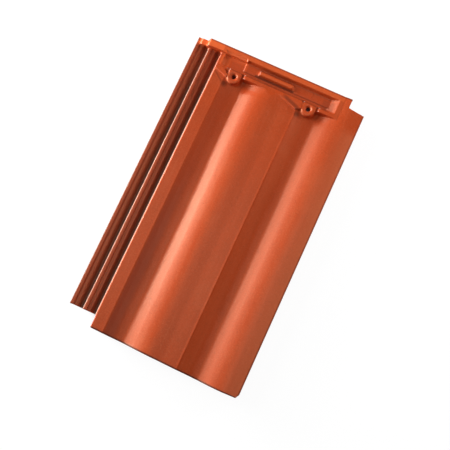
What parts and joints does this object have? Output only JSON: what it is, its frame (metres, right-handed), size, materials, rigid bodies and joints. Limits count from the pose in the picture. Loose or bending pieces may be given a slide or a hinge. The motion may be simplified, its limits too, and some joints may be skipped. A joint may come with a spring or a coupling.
{
  "type": "clay roof tile",
  "caption": "Interlocking clay roof tile with rolls and troughs, side lock and head channel, nail bosses and hanging nibs, laid on battens.",
  "frame": {"origin": "centre of the bounding box at its base, the level floor that the foot edge and the nibs rest on", "axes": "+X across the tile from the side lock to the cover edge, +Y up the roof from the foot to the head, +Z out of the weather face"},
  "size_m": [0.28, 0.4754, 0.041],
  "materials": {
    "fired_clay": "satin red clay slip on the weather face, bare fired clay below"
  },
  "bodies": {
    "root": {"clay_tile": "fired_clay"}
  },
  "joints": []
}
